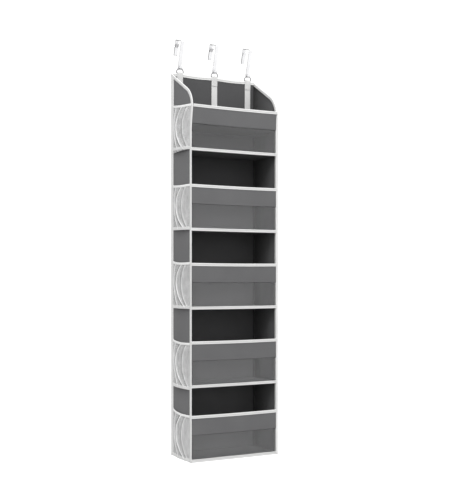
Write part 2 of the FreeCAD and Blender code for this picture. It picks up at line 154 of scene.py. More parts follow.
def add_object(name, data):
    """An object in the scene."""
    made = bpy.data.objects.new(name, data)
    bpy.context.scene.collection.objects.link(made)
    return made


def sheet_mesh(name, patches, gather_and_groove_shade=None):
    """One mesh of grids. A patch is (place, steps along, steps across, flat length, width, closed).

    The last argument, a function of (u, v), says how gathered or sewn down the cloth is, and is kept for the
    material: the net's holes follow it, and it paints shade in fold hollows and seam grooves and light on
    fold crests.
    """
    points = []
    gather_and_groove_shade_shares = []
    faces = []
    flats = []
    for place, along, across, long, wide, closed in patches:
        base = len(points)
        columns = across if closed else across + 1
        for i in range(along + 1):
            for j in range(columns):
                points.append(leaned(place(i / along, j / across)))
                if gather_and_groove_shade is not None:
                    gather_and_groove_shade_shares.append(gather_and_groove_shade(i / along, j / across))
        for i in range(along):
            for j in range(across):
                after = (j + 1) % columns
                faces.append((base + i * columns + j, base + (i + 1) * columns + j,
                              base + (i + 1) * columns + after, base + i * columns + after))
                low_u, high_u = i / along * long, (i + 1) / along * long
                low_v, high_v = j / across * wide, (j + 1) / across * wide
                flats += [(low_u, low_v), (high_u, low_v), (high_u, high_v), (low_u, high_v)]
    mesh = smooth_mesh(name, points, faces)
    layer = mesh.uv_layers.new(name="flat")
    for corner, flat in zip(layer.data, flats):
        corner.uv = flat
    if gather_and_groove_shade is not None:
        kept = mesh.attributes.new("gather_and_groove_shade", "FLOAT", "POINT")
        kept.data.foreach_set("value", gather_and_groove_shade_shares)
    return mesh


def add_piece(name, mesh, material, body, nodes):
    """Put a mesh in the scene as a piece that rides on a body and stands for CAD nodes."""
    mesh.materials.append(material)
    piece = add_object(name, mesh)
    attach(piece, body)
    if nodes:
        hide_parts(*nodes)
    return piece


def add_sheet(name, patches, thick, material, nodes, body="organizer", back_material=None,
              gather_and_groove_shade=None):
    """A piece of cloth, tape or film: its middle surface with a thickness, and maybe another rear face."""
    piece = add_piece(name, sheet_mesh(name, patches, gather_and_groove_shade), material, body, nodes)
    solid = piece.modifiers.new("thickness", "SOLIDIFY")
    solid.thickness = thick
    solid.offset = 0
    if back_material is not None:
        piece.data.materials.append(back_material)
        solid.material_offset = 1
    return piece


def fold(share, leg, radius):
    """A sheet folded over an edge: (sideways, outwards) from the fold's centre, starting on one leg."""
    bend = pi * radius
    way = share * (2 * leg + bend)
    if way < leg:
        return -radius, way - leg
    if way > leg + bend:
        return radius, leg + bend - way
    turn = (way - leg) / radius
    return -radius * cos(turn), radius * sin(turn)


def fold_width(leg, radius):
    """Flat width of a folded sheet."""
    return 2 * leg + pi * radius


def seam_dent(out, leg, inset):
    """1 under a row of stitches at a distance from the end of a folded tape's leg, and 0 away from it."""
    return exp(-((out + leg - inset) / SEAM_SPREAD) ** 2)


def fold_leg(radius):
    """Flat length of each leg of a binding tape folded at a radius."""
    return TAPE_WIDE - TAPE_THICK / 2 - radius


def add_tape(name, place, steps, long, radius, seam, node):
    """A binding tape folded over an edge, with its row of stitches sewn down; the dent under the stitches
    also paints shade along the groove.
    """
    leg = fold_leg(radius)
    patch = (place, steps, TAPE_STEPS, long, fold_width(leg, radius), False)
    add_sheet(name, [patch], FOLDED_THICK, tape_cloth, [node],
              gather_and_groove_shade=lambda u, v: seam_dent(fold(v, leg, radius)[1], leg, seam))


def measured(points):
    """The way along a line of points at each of them."""
    ways = [0.0]
    for first, second in zip(points, points[1:]):
        ways.append(ways[-1] + (second - first).length)
    return ways


def segment_at(ways, target):
    """The segment of a measured line at a way along it, and the share of it that is passed."""
    number = min(max(bisect_left(ways, target) - 1, 0), len(ways) - 2)
    return number, (target - ways[number]) / max(ways[number + 1] - ways[number], 1e-9)


# ---- stitching


class Thread:
    """Short raised stitches collected into one mesh."""

    LONG = 2.7 * MM
    WIDE = 0.55 * MM
    HIGH = 0.42 * MM
    PITCH = 4.0 * MM
    LINE_STEPS = 400

    def __init__(self):
        self.points = []
        self.faces = []

    def stitch(self, centre, along, out):
        """One stitch: a long lens lying on the cloth."""
        centre = leaned(centre)
        side = along.cross(out).normalized()
        base = len(self.points)
        half = along * (self.LONG / 2)
        ring = [side * (self.WIDE / 2), out * (self.HIGH / 2),
                side * (-self.WIDE / 2), out * (-self.HIGH / 2)]
        self.points += [centre - half, centre + half]
        self.points += [centre - half * 0.5 + offset for offset in ring]
        self.points += [centre + half * 0.5 + offset for offset in ring]
        for k in range(4):
            after = (k + 1) % 4
            self.faces.append((base, base + 2 + after, base + 2 + k))
            self.faces.append((base + 2 + k, base + 2 + after, base + 6 + after, base + 6 + k))
            self.faces.append((base + 1, base + 6 + k, base + 6 + after))

    def run(self, line, out):
        """Stitches along a line, where line(share) is a point. out is the way off the cloth."""
        points = [line(k / self.LINE_STEPS) for k in range(self.LINE_STEPS + 1)]
        ways = measured(points)
        count = max(int(ways[-1] / self.PITCH), 1)
        for number in range(count):
            place, part = segment_at(ways, (number + 0.5) * ways[-1] / count)
            along = (points[place + 1] - points[place]).normalized()
            self.stitch(points[place].lerp(points[place + 1], part), along, out)

    def straight(self, start, end, out):
        """Stitches from one point to another."""
        first = Vector(start)
        last = Vector(end)
        self.run(lambda share: first.lerp(last, share), out)

    def make(self, name, material=None):
        """The stitches as one piece."""
        mesh = smooth_mesh(name, self.points, self.faces)
        return add_piece(name, mesh, material or thread_material, "organizer", ())


# ---- materials


def new_material(name):
    """A material, its node tree and its main shader."""
    made = bpy.data.materials.new(name)
    made.use_nodes = True
    tree = made.node_tree
    return made, tree, tree.nodes["Principled BSDF"]


def set_inputs(node, **values):
    """A node with fixed values at its named inputs."""
    for key, value in values.items():
        node.inputs[key.replace("_", " ")].default_value = value
    return node


def add_node(tree, kind, settings=None, **values):
    """A shader node with its settings, and the values of its named inputs."""
    made = tree.nodes.new("ShaderNode" + kind)
    for key, value in (settings or {}).items():
        setattr(made, key, value)
    return set_inputs(made, **values)


def plug(tree, value, socket):
    """Give an input another node's output or a fixed value."""
    if isinstance(value, bpy.types.NodeSocket):
        tree.links.new(value, socket)
    else:
        socket.default_value = value


def math_node(tree, operation, first, second=None):
    """A math node; each input is a socket or a number."""
    made = add_node(tree, "Math", {"operation": operation})
    plug(tree, first, made.inputs[0])
    if second is not None:
        plug(tree, second, made.inputs[1])
    return made.outputs[0]


def times(tree, first, second):
    """Product of two values."""
    return math_node(tree, "MULTIPLY", first, second)


def plus(tree, first, second):
    """Sum of two values."""
    return math_node(tree, "ADD", first, second)


def minus(tree, first, second):
    """The first value less the second."""
    return math_node(tree, "SUBTRACT", first, second)


def mapped(tree, value, start, end, low=0.0, high=1.0):
    """A value's range from start to end made into one from low to high."""
    made = add_node(tree, "MapRange", From_Min=start, From_Max=end, To_Min=low, To_Max=high)
    plug(tree, value, made.inputs["Value"])
    return made.outputs["Result"]


def mixed(tree, factor, first, second, blend="MIX"):
    """Two colours mixed by a factor; each input is a socket or a value."""
    made = add_node(tree, "MixRGB", {"blend_type": blend})
    for name, value in (("Fac", factor), ("Color1", first), ("Color2", second)):
        plug(tree, value, made.inputs[name])
    return made.outputs["Color"]


def bumped(tree, height, strength, relief):
    """The normal of a surface with relief."""
    bump = add_node(tree, "Bump", Strength=strength, Distance=relief)
    tree.links.new(height, bump.inputs["Height"])
    return bump.outputs["Normal"]


def mixed_shader(tree, factor, first, second):
    """Two shaders mixed by a factor."""
    made = add_node(tree, "MixShader")
    for socket, value in zip(made.inputs, (factor, first, second)):
        tree.links.new(value, socket)
    return made.outputs[0]


def axes(tree, vector):
    """The X, Y and Z outputs of a vector."""
    split = add_node(tree, "SeparateXYZ")
    tree.links.new(vector, split.inputs[0])
    return split.outputs


def place_axes(tree, kind="Object"):
    """The X, Y and Z outputs of a texture coordinate."""
    return axes(tree, add_node(tree, "TexCoord").outputs[kind])


def flat_waves(tree, pitch_along, pitch_across):
    """Sine waves along and across a sheet, in its own flat metres."""
    flat = axes(tree, add_node(tree, "UVMap", {"uv_map": "flat"}).outputs["UV"])
    return [math_node(tree, "SINE", times(tree, flat[axis], 2 * pi / pitch))
            for axis, pitch in (("X", pitch_along), ("Y", pitch_across))]


def noise_node(tree, scale, detail):
    """Noise in the object's own metres."""
    made = add_node(tree, "TexNoise", Scale=scale, Detail=detail)
    tree.links.new(add_node(tree, "TexCoord").outputs["Object"], made.inputs["Vector"])
    return made.outputs["Fac"]


def greys(dark, light, blue=0.0):
    """A dark and a light grey, with a little more or less blue in both."""
    return (dark, dark, dark + blue), (light, light, light + blue)


def colour_from(tree, factor, tones, low=0.3, high=0.7):
    """A colour between a dark and a light tone, set by a factor."""
    ramp = add_node(tree, "ValToRGB")
    for element, place, tone in zip(ramp.color_ramp.elements, (low, high), tones):
        element.position = place
        element.color = (*tone, 1)
    tree.links.new(factor, ramp.inputs["Fac"])
    return ramp.outputs["Color"]


def finish_cloth(tree, shader, colour, height, relief, roughness, sheen):
    """Join colour and relief to a cloth's shader."""
    tree.links.new(bumped(tree, height, 1.0, relief), shader.inputs["Normal"])
    tree.links.new(colour, shader.inputs["Base Color"])
    set_inputs(shader, Roughness=roughness, Sheen_Weight=sheen, Sheen_Roughness=0.6, Specular_IOR_Level=0.25)


def blotched(tree, fine_scale, fine_share):
    """Fine fibre noise with a slow change of tone over it."""
    fine = times(tree, noise_node(tree, fine_scale, 5.0), fine_share)
    return plus(tree, fine, times(tree, noise_node(tree, 9.0, 2.0), 1 - fine_share))


def painted_window_light(tree):
    """Painted light behind the windows: 1 just above each floor, falling to 0 up under the band as painted
    shade, and 0 in the open spaces between.
    """
    height = place_axes(tree)["Z"]
    total = 0.0
    for row in ROWS:
        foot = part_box(f"front_band_{row}")[0].z
        for start, end, share in ((floor[row] - 0.5 * MM, floor[row] + 0.5 * MM, 1),
                                  (floor[row] + 12 * MM, foot + 16 * MM, -0.85),
                                  (foot + 8 * MM, foot + 34 * MM, -0.15)):
            total = plus(tree, total, mapped(tree, height, start, end, 0.0, share))
    return total


def painted_corner_shade(tree):
    """Painted light and shade on the inner cloth: the sides get lighter towards the front and darker towards
    the sewn rear corners.
    """
    place = place_axes(tree)
    sideways = math_node(tree, "ABSOLUTE", place["X"])
    near_side = mapped(tree, sideways, half_inner - 7 * MM, half_inner - 3 * MM)
    near_back = mapped(tree, place["Y"], -120 * MM, -3 * MM, -0.35, 0.75)
    return minus(tree, 1.0, times(tree, near_side, near_back))


def bonded_cloth(name, tones, lit_window_tones=None):
    """Non-woven cloth: matted fibres pressed together at a grid of small bond points.

    The window tones, where given, are painted light: lighter tones of the cloth behind the windows, fading to
    painted shade under the bands.
    """
    made, tree, shader = new_material(name)
    factor = blotched(tree, 900.0, 0.7)
    along, across = flat_waves(tree, 2.4 * MM, 2.4 * MM)
    bonds = math_node(tree, "GREATER_THAN", times(tree, along, across), 0.55)
    height = plus(tree, factor, times(tree, bonds, -0.55))
    shade = plus(tree, factor, times(tree, bonds, -0.06))
    colour = colour_from(tree, shade, tones)
    # painted light behind the windows, fading to painted shade under the bands
    if lit_window_tones is not None:
        lit = mixed(tree, painted_window_light(tree), colour, colour_from(tree, shade, lit_window_tones))
        # painted shade on the sides towards the rear corners, and painted light towards the front
        colour = mixed(tree, 1.0, lit, painted_corner_shade(tree), "MULTIPLY")
    finish_cloth(tree, shader, colour, height, 0.25 * MM, 0.92, 0.12)
    return made


def ribbed_cloth(name, tones, rib, weave, relief, rib_share=0.75):
    """Woven tape or elastic: ribs across its length, and fine threads between them."""
    made, tree, shader = new_material(name)
    along, across = flat_waves(tree, rib, weave)
    ribs = times(tree, along, rib_share * 0.5)
    threads = times(tree, across, (1 - rib_share) * 0.5)
    height = plus(tree, plus(tree, ribs, threads), 0.5)
    mottled = times(tree, blotched(tree, 700.0, 0.5), 0.65)
    groove_shade = add_node(tree, "Attribute", {"attribute_name": "gather_and_groove_shade"}).outputs["Fac"]
    plain = plus(tree, times(tree, height, 0.35), mottled)
    # painted shade along the groove of each sewn row
    factor = minus(tree, plain, times(tree, groove_shade, 0.8))
    finish_cloth(tree, shader, colour_from(tree, factor, tones), height, relief, 0.75, 0.2)
    return made


def knitted_mesh(name, tones):
    """Fine knitted net: threads with small open holes in staggered rows."""
    made, tree, shader = new_material(name)
    along, across = flat_waves(tree, 3.0 * MM, 3.0 * MM)
    cells = math_node(tree, "ABSOLUTE", times(tree, along, across))
    fold_gather_and_shade = add_node(tree, "Attribute", {"attribute_name": "gather_and_groove_shade"}).outputs["Fac"]
    # the net closes up where it is gathered into a fold, and opens in the hollows beside it
    limit = plus(tree, times(tree, fold_gather_and_shade, 0.5), 0.52)
    holes = math_node(tree, "GREATER_THAN", cells, limit)
    height = minus(tree, 1.0, cells)
    mottled = plus(tree, times(tree, blotched(tree, 500.0, 0.6), 0.4), 0.32)
    # lighter on the fold crests, where the gathered net is denser, partly as painted light, and darker in the
    # hollows beside them as painted shade
    factor = plus(tree, mottled, times(tree, fold_gather_and_shade, 0.6))
    finish_cloth(tree, shader, colour_from(tree, factor, tones, 0.0, 1.0), height, 0.3 * MM, 0.7, 0.3)
    tree.links.new(minus(tree, 1.0, holes), shader.inputs["Alpha"])
    return made


def clear_film(name):
    """Soft clear film: it lets most light through, with a little milkiness and a soft gloss."""
    made, tree, shader = new_material(name)
    tree.nodes.remove(shader)
    output = tree.nodes["Material Output"]
    clear = add_node(tree, "BsdfTransparent", Color=(0.985, 0.985, 0.99, 1))
    milk = add_node(tree, "BsdfDiffuse", Color=(0.86, 0.87, 0.88, 1))
    gloss = add_node(tree, "BsdfGlossy", Roughness=0.14, Color=(1, 1, 1, 1))
    haze = noise_node(tree, 22.0, 3.0)
    amount = plus(tree, times(tree, haze, 0.014), 0.01)
    body = mixed_shader(tree, amount, clear.outputs[0], milk.outputs[0])
    relief = bumped(tree, noise_node(tree, 60.0, 2.0), 0.5, 0.3 * MM)
    tree.links.new(relief, gloss.inputs["Normal"])
    shine = add_node(tree, "Fresnel", IOR=1.45)
    surface = mixed_shader(tree, shine.outputs[0], body, gloss.outputs[0])
    tree.links.new(surface, output.inputs["Surface"])
    return made


def sideways_faces(tree):
    """0 on the narrow faces of a steel strip, which face its two sides, and 1 elsewhere; there the material
    paints a dark reflection.
    """
    sideways = math_node(tree, "ABSOLUTE", place_axes(tree, "Normal")["X"])
    return math_node(tree, "LESS_THAN", sideways, 0.9)


def polished_steel(name, tones, rough_low, rough_high, strip=False):
    """Plated steel with faint brushing and a little wear; a strip gets a painted dark reflection on its
    narrow side faces.
    """
    made, tree, shader = new_material(name)
    scratches = noise_node(tree, 320.0, 8.0)
    colour = colour_from(tree, noise_node(tree, 40.0, 3.0), tones)
    if strip:
        # painted dark reflection on the strip's narrow side faces
        colour = mixed(tree, sideways_faces(tree), PAINTED_EDGE_REFLECTION, colour)
    tree.links.new(colour, shader.inputs["Base Color"])
    tree.links.new(mapped(tree, scratches, 0.0, 1.0, rough_low, rough_high), shader.inputs["Roughness"])
    tree.links.new(bumped(tree, scratches, 0.3, 0.03 * MM), shader.inputs["Normal"])
    set_inputs(shader, Metallic=1.0)
    return made


def cardboard(name):
    """Plain grey-brown board with flecks."""
    made, tree, shader = new_material(name)
    flecks = noise_node(tree, 500.0, 8.0)
    finish_cloth(tree, shader, colour_from(tree, flecks, BOARD_TONES), flecks, 0.1 * MM, 0.95, 0.0)
    return made


# the darkest and lightest tone of each material
CLOTH_TONES = greys(0.106, 0.152, 0.003)
# the inside faces' darker copy of the grey cloth: painted shade for the dim insides of the pockets
SHADED_INNER_TONES = greys(0.058, 0.088, 0.002)
# lighter tones of the inside cloth behind the windows: painted light
LIT_WINDOW_TONES = greys(0.12, 0.165, 0.002)
TAPE_TONES = greys(0.62, 0.84, -0.005)
WEBBING_TONES = greys(0.56, 0.75, -0.005)
ELASTIC_TONES = greys(0.78, 0.96, -0.005)
THREAD_TONES = greys(0.62, 0.8, -0.01)
GREY_THREAD_TONES = greys(0.12, 0.2)
# from the painted shade in the fold hollows to the painted light on the fold crests
MESH_TONES = greys(0.3, 1.0)
RING_TONES = ((0.1, 0.1, 0.102), (0.17, 0.17, 0.173))
HOOK_TONES = greys(0.8, 0.9, 0.01)
BOARD_TONES = ((0.24, 0.21, 0.17), (0.36, 0.32, 0.27))
FLOOR_TONES = greys(0.93, 0.95)
# painted dark reflection on the hook strips' narrow side faces
PAINTED_EDGE_REFLECTION = (0.012, 0.012, 0.012, 1)

grey_cloth = bonded_cloth("grey_nonwoven", CLOTH_TONES)
# a darker copy of the grey cloth for the inside faces, floors and shelf: painted shade, with painted light
# behind the windows
shaded_inner_cloth = bonded_cloth("shaded_inner_nonwoven", SHADED_INNER_TONES, LIT_WINDOW_TONES)
tape_cloth = ribbed_cloth("binding_tape", TAPE_TONES, 1.1 * MM, 0.5 * MM, 0.12 * MM)
webbing_cloth = ribbed_cloth("webbing", WEBBING_TONES, 0.9 * MM, 2.0 * MM, 0.2 * MM, 0.35)
elastic_cloth = ribbed_cloth("elastic_rib", ELASTIC_TONES, 1.4 * MM, 1.6 * MM, 0.2 * MM, 0.5)
thread_material = ribbed_cloth("sewing_thread", THREAD_TONES, 0.4 * MM, 0.4 * MM, 0.05 * MM)
grey_thread = ribbed_cloth("grey_thread", GREY_THREAD_TONES, 0.4 * MM, 0.4 * MM, 0.05 * MM)
mesh_cloth = knitted_mesh("knitted_mesh", MESH_TONES)
film = clear_film("soft_clear_film")

# ---- the side's outline


def edge_point(way, inset):
    """A point of the sides' front edge and the direction off it, at a way up from its lower end."""
    radius = SHOULDER - inset
    straight = shoulder_z - bottom
    arc = radius * (pi / 2 - SLOPE)
    if way < straight:
        return Vector((0, front + inset, bottom + way)), Vector((0, -1, 0))
    turn = min((way - straight) / radius, pi / 2 - SLOPE)
    out = Vector((0, -cos(turn), sin(turn)))
    point = Vector((0, shoulder_y, shoulder_z)) + out * radius
    rest = max(way - straight - arc, 0)
    return point + Vector((0, cos(SLOPE), sin(SLOPE))) * rest, out


def edge_length(inset, rear):
    """Way along the sides' front edge from its lower end to a depth at the top."""
    radius = SHOULDER - inset
    slope_start = shoulder_y - radius * sin(SLOPE)
    arc = radius * (pi / 2 - SLOPE)
    return shoulder_z - bottom + arc + (rear - slope_start) / cos(SLOPE)


def front_limit(z, inset):
    """Depth of the side panel's front edge at a height."""
    radius = SHOULDER - inset
    if z <= shoulder_z:
        return front + inset
    if z <= shoulder_z + radius * cos(SLOPE):
        return shoulder_y - sqrt(radius ** 2 - (z - shoulder_z) ** 2)
    return (z - top + inset / cos(SLOPE)) / tan(SLOPE)


# ---- back, sides and their tapes


def corner_drop(inwards):
    """How far the rounded upper rear corners fall, at a distance in from the corner."""
    left = max(CORNER_ROUND - max(inwards, 0.0), 0.0)
    return CORNER_ROUND - sqrt(CORNER_ROUND ** 2 - left ** 2)


def top_sag(x):
    """How far the cloth's top edge hangs down between the straps."""
    span = 133 * MM
    return -1.6 * MM * sin(pi * min(abs(x), span) / span) ** 2


def make_back():
    """The back panel and the tape folded over its top edge."""
    low, high = bottom, top - TAPE_THICK * 1.2

    def place(u, v):
        x = (2 * u - 1) * half_inner
        z = low + v * (high - low) + top_sag(x) * v ** 20
        y = back_front / 2 + 0.3 * MM * ripple(x, z, 60 * MM, 1) * edge_fade(u, v)
        return Vector((x, y, z))

    wide, long = 2 * half_inner, high - low
    # the front face takes the darker copy of the cloth, as painted shade inside the pockets
    piece = add_sheet("back_panel_cloth", [(place, 54, 200, wide, long, False)], BACK_THICK, shaded_inner_cloth,
                      ["back_panel"], back_material=grey_cloth)

    radius = 1.5 * MM
    leg = fold_leg(radius)
    middle = (top_tape_low.y + top_tape_high.y) / 2

    def tape(u, v):
        x = (2 * u - 1) * (half_inner + 1.5 * MM)
        aside, out = fold(v, leg, radius)
        pucker = PUCKER * ripple(x, out, 7 * MM, 2) + SEAM_DEPTH * seam_dent(out, leg, MIDDLE_SEAM)
        drop = corner_drop(half_inner + 3 * MM - abs(x))
        z = top - TAPE_THICK / 2 - radius + out + top_sag(x) - drop
        return Vector((x, middle + aside + pucker * (aside < 0), z))

    add_tape("back_top_tape", tape, CROSS_STEPS, wide, radius, MIDDLE_SEAM, "back_top_binding")


def make_side(side, sign):
    """One side panel, the tape round its front edge and the tape on its rear corner."""
    low, high = bottom, top - 2 * TAPE_THICK
    rear = -TAPE_THICK
    inset = TAPE_THICK

    def place(u, v):
        z = low + v * (high - low)
        start = front_limit(z, inset)
        y = start + u * max(rear - start, 0.2 * MM)
        wave = 0.45 * MM * ripple(y, z, 70 * MM, 3 + sign) * edge_fade(u, v)
        return Vector((sign * (side_middle + wave), y, z))

    heights = [low + k / 400 * (high - low) for k in range(401)]
    area = sum(max(rear - front_limit(z, inset), 0) for z in heights) / 401 * (high - low)
    depth, long = rear - front - inset, high - low
    # the inside face takes the darker copy of the cloth, as painted shade inside the pockets
    faces = (grey_cloth, shaded_inner_cloth) if sign > 0 else (shaded_inner_cloth, grey_cloth)
    piece = add_sheet(f"{side}_side_cloth", [(place, 22, 190, depth, long, False)], SIDE_THICK, faces[0],
                      [f"{side}_side_panel"], back_material=faces[1])

    radius = 1.5 * MM
    leg = fold_leg(radius)
    centre_inset = TAPE_THICK / 2 + radius
    length = edge_length(centre_inset, top_tape_low.y)

    def tape(u, v):
        point, out_way = edge_point(u * length, centre_inset)
        aside, out = fold(v, leg, radius)
        pucker = 0.15 * MM * ripple(u * length, out, 8 * MM, 5 + sign)
        pucker -= SEAM_DEPTH * seam_dent(out, leg, EDGE_SEAM)
        shift = aside + copysign(1, aside) * pucker
        shift += aside / radius * FULLNESS[sign][aside > 0]
        return Vector((sign * (side_middle + shift), 0, 0)) + point + out_way * out

    add_tape(f"{side}_edge_tape", tape, EDGE_STEPS, length, radius, EDGE_SEAM, f"{side}_front_binding")

    wrap = -corner_low.y
    turn_radius = 0.5 * MM
    bend = pi / 2 * turn_radius
    outer = corner_high.x - TAPE_THICK / 2
    face = wrap - turn_radius - TAPE_THICK / 2
    lip = corner_high.x - corner_low.x - TAPE_THICK - 0.3 * MM
    profile_length = face + bend + lip

    def corner(u, v):
        way = v * profile_length
        if way < face:
            x, y = outer, -wrap + way
        elif way < face + bend:
            turn = (way - face) / turn_radius
            x = outer - turn_radius * (1 - cos(turn))
            y = -wrap + face + turn_radius * sin(turn)
        else:
            x = outer - turn_radius - (way - face - bend)
            y = -TAPE_THICK / 2
        z = bottom + u * (top + min(y, 0) * tan(SLOPE) - bottom - TAPE_THICK - corner_drop(-y))
        x += PUCKER * ripple(y, z, 9 * MM, 8 + sign) * (way < face)
        return Vector((sign * x, y, z))

    add_sheet(f"{side}_corner_tape", [(corner, 320, 18, top - bottom, profile_length, False)],
              0.8 * TAPE_THICK, tape_cloth, [f"{side}_corner_binding"])


# ---- pocket fronts and floors


def rim_sag(x):
    """How far a pocket's front hangs down in its middle."""
    return -1.1 * MM * (1 - (x / tape_inner) ** 2)


def make_band(row):
    """Cloth upper part of a pocket's front, with its lower edge turned up behind and sewn."""
    low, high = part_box(f"front_band_{row}")
    radius = 0.38 * MM
    hem = 8 * MM
    bend = pi * radius
    down = high.z - low.z - radius
    front_layer = low.y + 0.4 * MM
    long = down + bend + hem

    def place(u, v):
        x = (2 * u - 1) * (tape_inner + 0.5 * MM)
        way = v * long
        ease = 0.35 * MM * ripple(x, way, 55 * MM, 10 + row) * edge_fade(u, min(way / down, 1) * 0.98 + 0.01)
        if way < down:
            y, z = front_layer + ease, high.z - way
        elif way < down + bend:
            turn = (way - down) / radius
            y = front_layer + radius * (1 - cos(turn))
            z = high.z - down - radius * sin(turn)
        else:
            y, z = front_layer + 2 * radius, high.z - down + way - down - bend
        return Vector((x, y, z + rim_sag(x)))

    wide = 2 * tape_inner + 1 * MM
    piece = add_sheet(f"front_band_cloth_{row}", [(place, 60, 40, wide, long, False)], BAND_THICK, grey_cloth,
                      [f"front_band_{row}"])


def make_window(row):
    """Clear film lower part of a pocket's front, a little slack."""
    low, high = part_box(f"clear_window_{row}")

    def place(u, v):
        x = (2 * u - 1) * (tape_inner + 0.5 * MM)
        z = low.z + v * (high.z - low.z) + rim_sag(x) * v
        below_band = 1 - fade(z, rim[row] - 66 * MM, rim[row] - 60 * MM)
        slack = 1.1 * MM * ripple(x, z, 48 * MM, 20 + row) * edge_fade(u, v) * below_band
        return Vector((x, (low.y + high.y) / 2 - slack * 0.8, z))

    add_sheet(f"window_film_{row}", [(place, 70, 30, 2 * tape_inner, high.z - low.z, False)], 0.3 * MM, film,
              [f"clear_window_{row}"])


def make_cross_tapes(row):
    """Tapes folded over a band's top edge and round a window's foot."""
    radius = 1.25 * MM
    leg = fold_leg(radius)
    middle = front + TAPE_THICK / 2 + radius
    wide = 2 * (tape_inner + 0.2 * MM)
    for name, node, level, way, seed in (("rim_tape", "band_binding", rim[row], 1, 30),
                                         ("floor_tape", "floor_binding", floor[row], -1, 40)):
        def place(u, v, level=level, way=way, seed=seed):
            x = (2 * u - 1) * wide / 2
            aside, out = fold(v, leg, radius)
            pucker = PUCKER * ripple(x, out, 8 * MM, seed + row)
            pucker -= SEAM_DEPTH * seam_dent(out, leg, MIDDLE_SEAM)
            pucker *= out < 0
            sag = rim_sag(x) if way > 0 else 0.35 * rim_sag(x)
            centre = level + way * (TAPE_WIDE / 2 - TAPE_THICK / 2 - radius)
            return Vector((x, middle + aside + copysign(1, aside) * pucker, centre + way * out + sag))

        add_tape(f"{name}_{row}", place, CROSS_STEPS, wide, radius, MIDDLE_SEAM, f"{node}_{row}")


def sleeve_patch(half_wide, low, high, cloth, seed):
    """A flattened tube of cloth round a stiff board, open at its two ends, inside a box."""
    thick = high.z - low.z
    middle = (low.z + high.z) / 2
    radius = (thick - cloth) / 2
    bend = pi * radius
    run = high.y - low.y - thick
    around = 2 * run + 2 * bend

    def place(u, v):
        x = (2 * u - 1) * half_wide
        way = v * around
        nose = low.y + thick / 2
        if way < run:
            y, z = nose + way, radius
            z += SLEEVE_RIPPLE * ripple(x, y, 45 * MM, seed) * sin(pi * way / run)
        elif way < run + bend:
            turn = (way - run) / radius
            y, z = nose + run + radius * sin(turn), radius * cos(turn)
        elif way < 2 * run + bend:
            back = way - run - bend
            y, z = nose + run - back, -radius
            z += SLEEVE_RIPPLE * ripple(x, y, 45 * MM, seed + 1) * sin(pi * back / run)
        else:
            turn = (way - 2 * run - bend) / radius
            y, z = nose - radius * sin(turn), -radius * cos(turn)
        return Vector((x, y, middle + z))

    return (place, 56, 76, 2 * half_wide, around, True), around


def make_floor(row):
    """Cloth sleeve that is a pocket's floor."""
    low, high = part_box(f"floor_panel_{row}")
    half = tape_inner - 0.2 * MM
    patch, around = sleeve_patch(half, low, high, FLOOR_THICK, 50 + row)
    piece = add_sheet(f"floor_sleeve_{row}", [patch], FLOOR_THICK, shaded_inner_cloth,
                      [f"floor_panel_{row}"])


# ---- mesh side pockets

# where each long fold of the mesh runs: share of the depth at the top, the middle and the foot
FOLDS = ((0.36, 0.69, 0.22), (0.74, 0.86, 0.60), (0.14, 0.36, 0.06))
FOLD_HEIGHTS = (4.2 * MM, 3.4 * MM, 2.0 * MM)
FOLD_WIDTHS = (6.0 * MM, 5.4 * MM, 5.6 * MM)
GATHERS = (1.0, 0.9, 0.45)
# rim and hem of each row's side pockets, in mm: rise from front to rear, and shift up
RIM_LINES = ((14.0, 6.0), (6.6, 0.0), (5.7, 2.5), (5.8, 0.8), (8.4, 3.0))
HEM_LINES = ((9.5, 6.6), (3.7, 0.8), (-0.7, -1.3), (0.5, -3.4), (0.5, -1.0))
pocket_front = front + TAPE_WIDE - 0.6 * MM
pocket_rear = corner_low.y + 0.8 * MM
pocket_depth = pocket_rear - pocket_front
# flat width of the mesh and its elastic: a little more than the depth, and gathered
gathered_wide = pocket_depth * 1.08
POCKET_BULGE = 7.6 * MM
RIM_TALL = 8 * MM
RIM_DIP = 3 * MM
HEM_TALL = 10 * MM


def pocket_bulge(u):
    """How far a mesh pocket stands off the side at a share of its depth."""
    return POCKET_BULGE * sin(pi * u) ** 0.8


def slope(lines, u, row):
    """Height over its level of a line that rises to the rear."""
    rise, shift = lines[row - 1]
    return rise * MM * (u - 0.5) + shift * MM


def rim_slope(u, row):
    """Height of a pocket's rim over its level; it dips in the middle."""
    return slope(RIM_LINES, u, row) - RIM_DIP * sin(pi * u)


def hem_slope(u, row):
    """Height of a pocket's hem over its level."""
    return slope(HEM_LINES, u, row)


def fold_offset(u, v, row, sign, number):
    """Distance from a fold's line in fold widths; the line is a parabola through its three shares."""
    upper, centre, lower = FOLDS[number]
    line = lower * (1 - v) * (1 - 2 * v) + centre * 4 * v * (1 - v) + upper * v * (2 * v - 1)
    line += 0.025 * sin(row * 2.1 + number * 1.7 + sign)
    return (u - line) * pocket_depth / FOLD_WIDTHS[number]


def gather_and_hollow_shade(u, v, row, sign):
    """How gathered the net is: 1 on the crest of a fold, below 0 in the hollow beside it; it lightens the
    crests, partly as painted light, and darkens the hollows as painted shade.
    """
    total = 0.0
    for number in range(len(FOLDS)):
        off = fold_offset(u, v, row, sign, number)
        crest = exp(-1.8 * off * off)
        # the hollow beside each fold is painted shade
        hollow_shade = exp(-1.6 * (off - 1.35) ** 2)
        total += GATHERS[number] * (crest - 0.8 * hollow_shade)
    return min(max(total + 0.2 * ripple(u * pocket_depth, v * 0.13, 16 * MM, 90 + row + sign), -0.8), 1.0)


